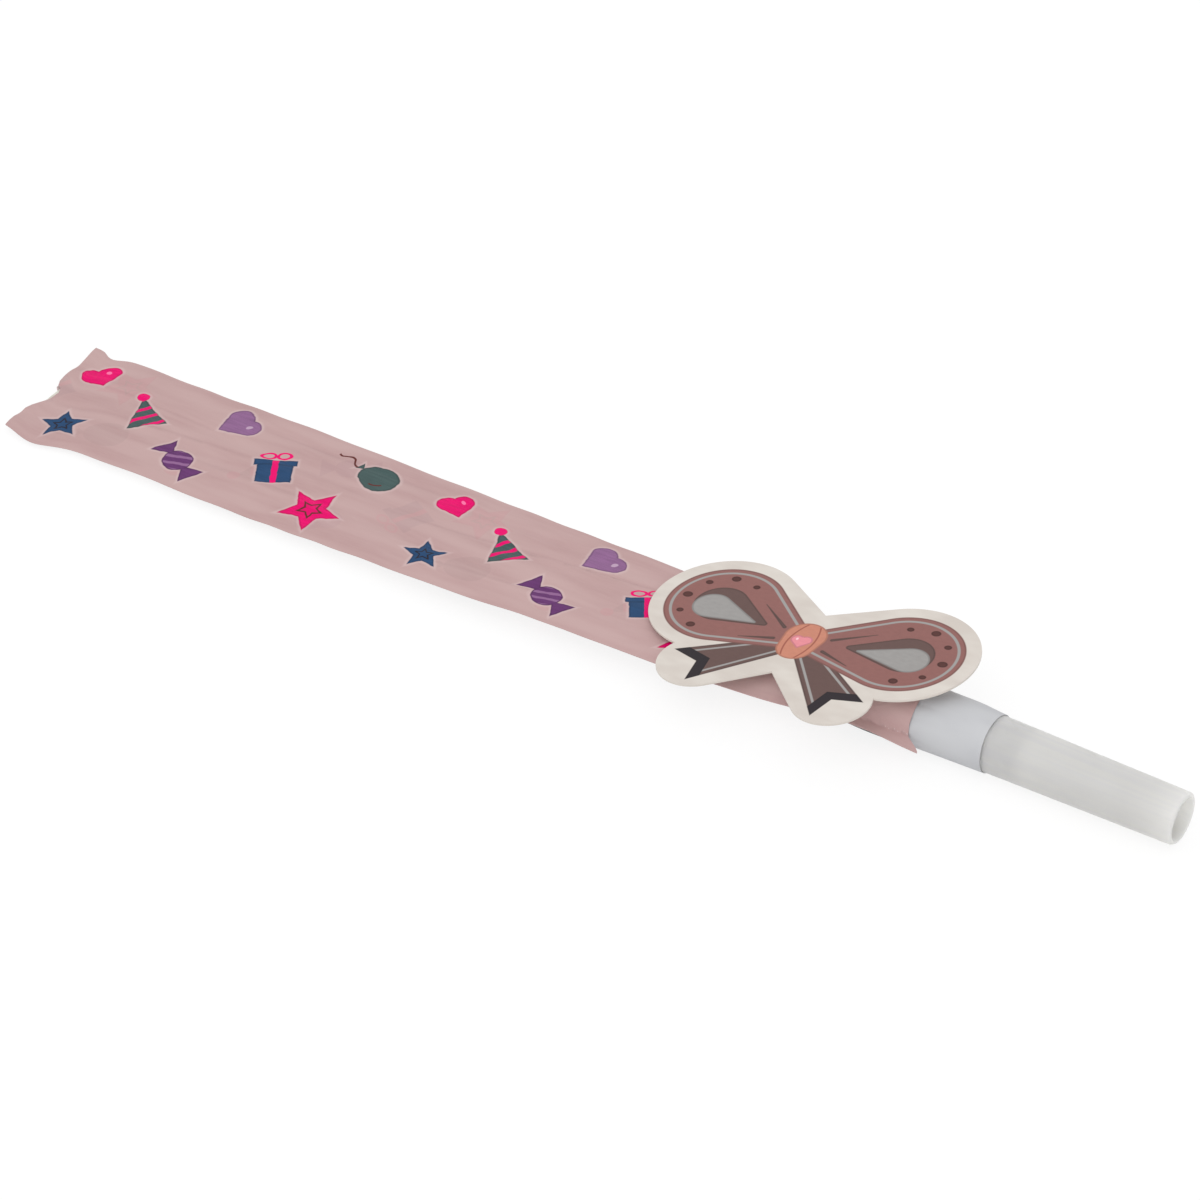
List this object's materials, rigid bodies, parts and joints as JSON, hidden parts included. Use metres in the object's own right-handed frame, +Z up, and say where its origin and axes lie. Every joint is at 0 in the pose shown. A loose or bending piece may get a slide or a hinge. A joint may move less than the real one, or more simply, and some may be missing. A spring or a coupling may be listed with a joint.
{
  "type": "party blower",
  "caption": "Party blower: flattened paper tube that rolls up, on a tapered plastic mouthpiece with a reed inside, with a die-cut bow card on top.",
  "frame": {"origin": "on the table, at the middle of the unrolled blower's length and width", "axes": "+X along the blower from the tip to the mouth, +Z up from the table"},
  "size_m": [0.3186, 0.0494, 0.0191],
  "materials": {
    "milky_plastic": "milky, translucent, satin",
    "white_paper": "smooth white paper",
    "pink_paper": "dusty pink printed paper",
    "printed_card": "printed card, bare border",
    "reed_plastic": "moulded",
    "reed_metal": "rolled sheet",
    "spring_steel": "rolled strip",
    "glue": "clear set glue"
  },
  "bodies": {
    "blower_root": {"mouthpiece": "milky_plastic", "paper_sleeve": "white_paper", "reed_collar": "reed_plastic", "reed_shallot": "reed_plastic", "reed_wedge": "reed_plastic", "reed_heel": "reed_metal", "paper_tube_root": "pink_paper", "curl_spring_root": "spring_steel", "bow_card": "printed_card", "card_glue_front": "glue", "card_glue_rear": "glue"},
    "reed": {"reed_tongue": "reed_metal"},
    "tube_01": {"paper_tube_01": "pink_paper", "curl_spring_01": "spring_steel"},
    "tube_02": {"paper_tube_02": "pink_paper", "curl_spring_02": "spring_steel"},
    "tube_03": {"paper_tube_03": "pink_paper", "curl_spring_03": "spring_steel"},
    "tube_04": {"paper_tube_04": "pink_paper", "curl_spring_04": "spring_steel"},
    "tube_05": {"paper_tube_05": "pink_paper", "curl_spring_05": "spring_steel"},
    "tube_06": {"paper_tube_06": "pink_paper", "curl_spring_06": "spring_steel"},
    "tube_07": {"paper_tube_07": "pink_paper", "curl_spring_07": "spring_steel"},
    "tube_08": {"paper_tube_08": "pink_paper", "curl_spring_08": "spring_steel"},
    "tube_09": {"paper_tube_09": "pink_paper", "curl_spring_09": "spring_steel"},
    "tube_10": {"paper_tube_10": "pink_paper", "curl_spring_10": "spring_steel"},
    "tube_11": {"paper_tube_11": "pink_paper", "curl_spring_11": "spring_steel"},
    "tube_12": {"paper_tube_12": "pink_paper", "curl_spring_12": "spring_steel"},
    "tube_13": {"paper_tube_13": "pink_paper", "curl_spring_13": "spring_steel"},
    "tube_14": {"paper_tube_14": "pink_paper", "curl_spring_14": "spring_steel"},
    "tube_15": {"paper_tube_15": "pink_paper", "curl_spring_15": "spring_steel"},
    "tube_16": {"paper_tube_16": "pink_paper", "curl_spring_16": "spring_steel"},
    "tube_17": {"paper_tube_17": "pink_paper", "curl_spring_17": "spring_steel"},
    "tube_18": {"paper_tube_18": "pink_paper", "curl_spring_18": "spring_steel"},
    "tube_19": {"paper_tube_19": "pink_paper", "curl_spring_19": "spring_steel"},
    "tube_20": {"paper_tube_20": "pink_paper", "tip_glue": "glue"}
  },
  "joints": [
    {"name": "reed_flex", "type": "hinge", "parent": "blower_root", "child": "reed", "pos_m": [0.11975, 0, 0.00769], "axis": [0, -1, 0], "range_deg": [-1.2, 3], "stiffness_Nm_per_rad": 0.003},
    {"name": "tube_bend_01", "type": "hinge", "parent": "blower_root", "child": "tube_01", "pos_m": [-0.00024, 0, 0.00618], "axis": [0, 1, 0], "range_deg": [0, 45]},
    {"name": "tube_bend_02", "type": "hinge", "parent": "tube_01", "child": "tube_02", "pos_m": [-0.01123, 0, 0.00587], "axis": [0, 1, 0], "range_deg": [0, 45]},
    {"name": "tube_bend_03", "type": "hinge", "parent": "tube_02", "child": "tube_03", "pos_m": [-0.0219, 0, 0.00556], "axis": [0, 1, 0], "range_deg": [0, 45]},
    {"name": "tube_bend_04", "type": "hinge", "parent": "tube_03", "child": "tube_04", "pos_m": [-0.03225, 0, 0.00526], "axis": [0, 1, 0], "range_deg": [0, 45]},
    {"name": "tube_bend_05", "type": "hinge", "parent": "tube_04", "child": "tube_05", "pos_m": [-0.04228, 0, 0.00497], "axis": [0, 1, 0], "range_deg": [0, 45]},
    {"name": "tube_bend_06", "type": "hinge", "parent": "tube_05", "child": "tube_06", "pos_m": [-0.05199, 0, 0.00469], "axis": [0, 1, 0], "range_deg": [0, 45]},
    {"name": "tube_bend_07", "type": "hinge", "parent": "tube_06", "child": "tube_07", "pos_m": [-0.06138, 0, 0.00442], "axis": [0, 1, 0], "range_deg": [0, 45]},
    {"name": "tube_bend_08", "type": "hinge", "parent": "tube_07", "child": "tube_08", "pos_m": [-0.07046, 0, 0.00416], "axis": [0, 1, 0], "range_deg": [0, 45]},
    {"name": "tube_bend_09", "type": "hinge", "parent": "tube_08", "child": "tube_09", "pos_m": [-0.07921, 0, 0.00391], "axis": [0, 1, 0], "range_deg": [0, 45]},
    {"name": "tube_bend_10", "type": "hinge", "parent": "tube_09", "child": "tube_10", "pos_m": [-0.08764, 0, 0.00366], "axis": [0, 1, 0], "range_deg": [0, 45]},
    {"name": "tube_bend_11", "type": "hinge", "parent": "tube_10", "child": "tube_11", "pos_m": [-0.09575, 0, 0.00343], "axis": [0, 1, 0], "range_deg": [0, 45]},
    {"name": "tube_bend_12", "type": "hinge", "parent": "tube_11", "child": "tube_12", "pos_m": [-0.10354, 0, 0.00321], "axis": [0, 1, 0], "range_deg": [0, 45]},
    {"name": "tube_bend_13", "type": "hinge", "parent": "tube_12", "child": "tube_13", "pos_m": [-0.11101, 0, 0.00299], "axis": [0, 1, 0], "range_deg": [0, 45]},
    {"name": "tube_bend_14", "type": "hinge", "parent": "tube_13", "child": "tube_14", "pos_m": [-0.11817, 0, 0.00278], "axis": [0, 1, 0], "range_deg": [0, 45]},
    {"name": "tube_bend_15", "type": "hinge", "parent": "tube_14", "child": "tube_15", "pos_m": [-0.125, 0, 0.00259], "axis": [0, 1, 0], "range_deg": [0, 45]},
    {"name": "tube_bend_16", "type": "hinge", "parent": "tube_15", "child": "tube_16", "pos_m": [-0.13151, 0, 0.0024], "axis": [0, 1, 0], "range_deg": [0, 45]},
    {"name": "tube_bend_17", "type": "hinge", "parent": "tube_16", "child": "tube_17", "pos_m": [-0.1377, 0, 0.00222], "axis": [0, 1, 0], "range_deg": [0, 45]},
    {"name": "tube_bend_18", "type": "hinge", "parent": "tube_17", "child": "tube_18", "pos_m": [-0.14357, 0, 0.00205], "axis": [0, 1, 0], "range_deg": [0, 45]},
    {"name": "tube_bend_19", "type": "hinge", "parent": "tube_18", "child": "tube_19", "pos_m": [-0.14913, 0, 0.00189], "axis": [0, 1, 0], "range_deg": [0, 45]},
    {"name": "tube_bend_20", "type": "hinge", "parent": "tube_19", "child": "tube_20", "pos_m": [-0.15436, 0, 0.00174], "axis": [0, 1, 0], "range_deg": [0, 45]}
  ]
}
